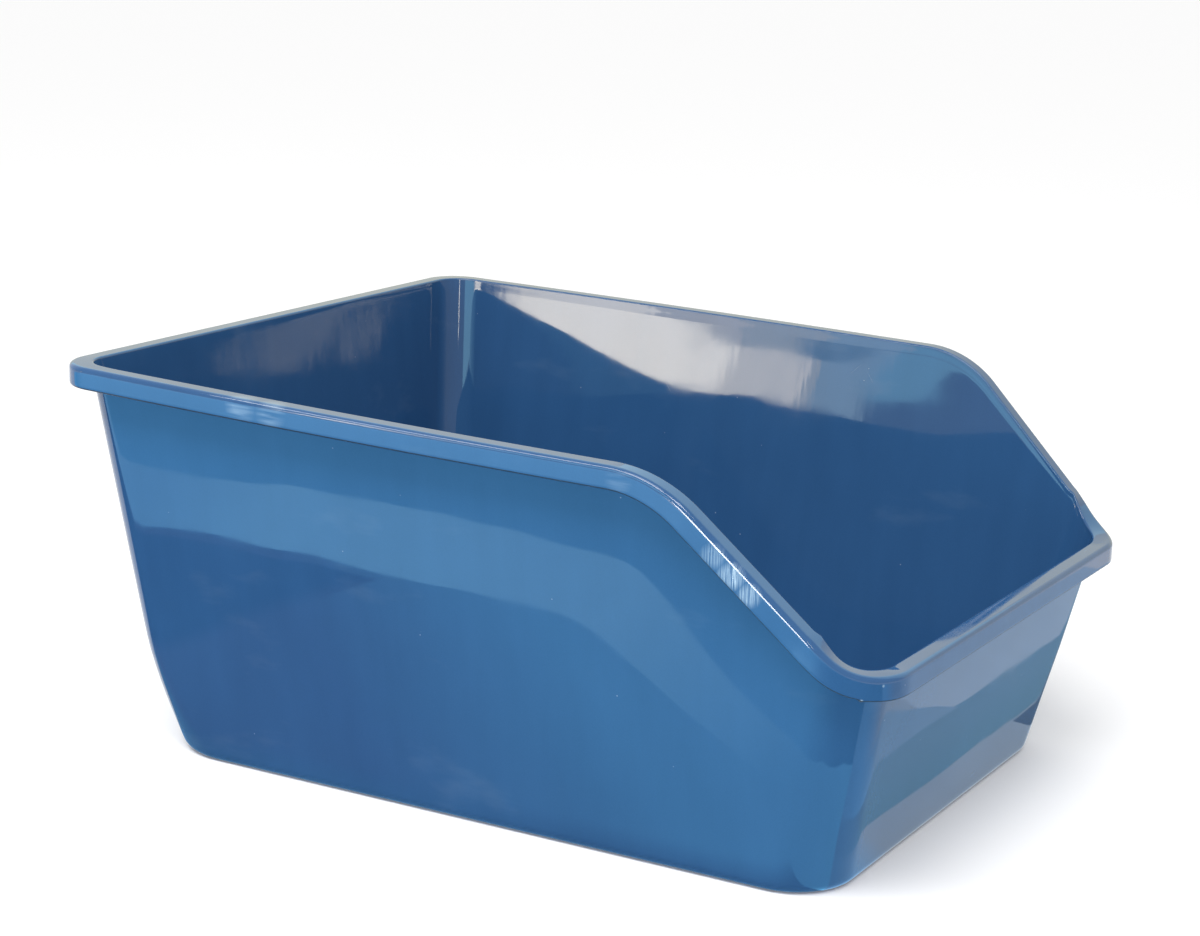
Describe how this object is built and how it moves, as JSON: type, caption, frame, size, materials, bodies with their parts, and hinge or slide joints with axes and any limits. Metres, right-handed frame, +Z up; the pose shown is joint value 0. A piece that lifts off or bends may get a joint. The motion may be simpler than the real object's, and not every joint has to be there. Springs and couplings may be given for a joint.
{
  "type": "cat litter pan",
  "caption": "Open one-piece cat litter pan with a high back, sides that slope down to a low front entry, and a turned-down rim all round.",
  "frame": {"origin": "centre of the flat underside, under the middle of the rim's length", "axes": "+Z up, -Y towards the low entry at the front, +Y towards the high back, X across the width"},
  "size_m": [0.4524, 0.546, 0.255],
  "materials": {
    "pan_plastic": "glossy moulded polypropylene, mid blue, with fine handling scratches"
  },
  "bodies": {
    "root": {"litter_pan": "pan_plastic"}
  },
  "joints": []
}
